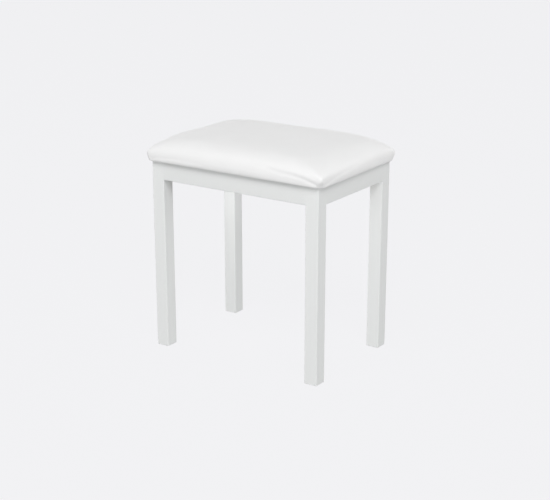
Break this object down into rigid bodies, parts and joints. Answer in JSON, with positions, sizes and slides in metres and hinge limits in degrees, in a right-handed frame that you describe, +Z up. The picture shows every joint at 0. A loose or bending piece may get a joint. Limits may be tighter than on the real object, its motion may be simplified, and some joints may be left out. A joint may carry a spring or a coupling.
{
  "type": "piano bench",
  "caption": "Rectangular padded piano bench on a painted square-leg wooden frame with flush rails.",
  "frame": {"origin": "on the floor under the middle of the bench", "axes": "+X to the sitter's right along the seat's long side, +Y to the back, +Z up"},
  "size_m": [0.436, 0.303, 0.478],
  "materials": {
    "painted_wood": "satin",
    "bare_wood": "matte",
    "plywood": "matte",
    "cover_leather": "satin",
    "foam": "matte",
    "wadding": "matte",
    "black_cloth": "matte",
    "zinc_steel": "satin",
    "yellow_zinc": "satin",
    "glide_plastic": "matte"
  },
  "bodies": {
    "root": {"leg_front_left": "painted_wood", "leg_front_right": "painted_wood", "leg_rear_right": "painted_wood", "leg_rear_left": "painted_wood", "rail_front": "painted_wood", "rail_rear": "painted_wood", "rail_left": "painted_wood", "rail_right": "painted_wood", "rail_dowels": "bare_wood", "corner_block_front_left": "bare_wood", "corner_block_front_right": "bare_wood", "corner_block_rear_right": "bare_wood", "corner_block_rear_left": "bare_wood", "corner_block_screws": "yellow_zinc", "hanger_bolts": "zinc_steel", "hanger_bolt_washers": "zinc_steel", "hanger_bolt_nuts": "zinc_steel", "seat_board": "plywood", "seat_foam": "foam", "seat_wadding": "wadding", "seat_cover": "cover_leather", "cover_staples": "zinc_steel", "dust_cover": "black_cloth", "dust_cover_staples": "zinc_steel", "seat_screws": "zinc_steel", "seat_screw_washers": "zinc_steel", "foot_glides": "glide_plastic"}
  },
  "joints": []
}
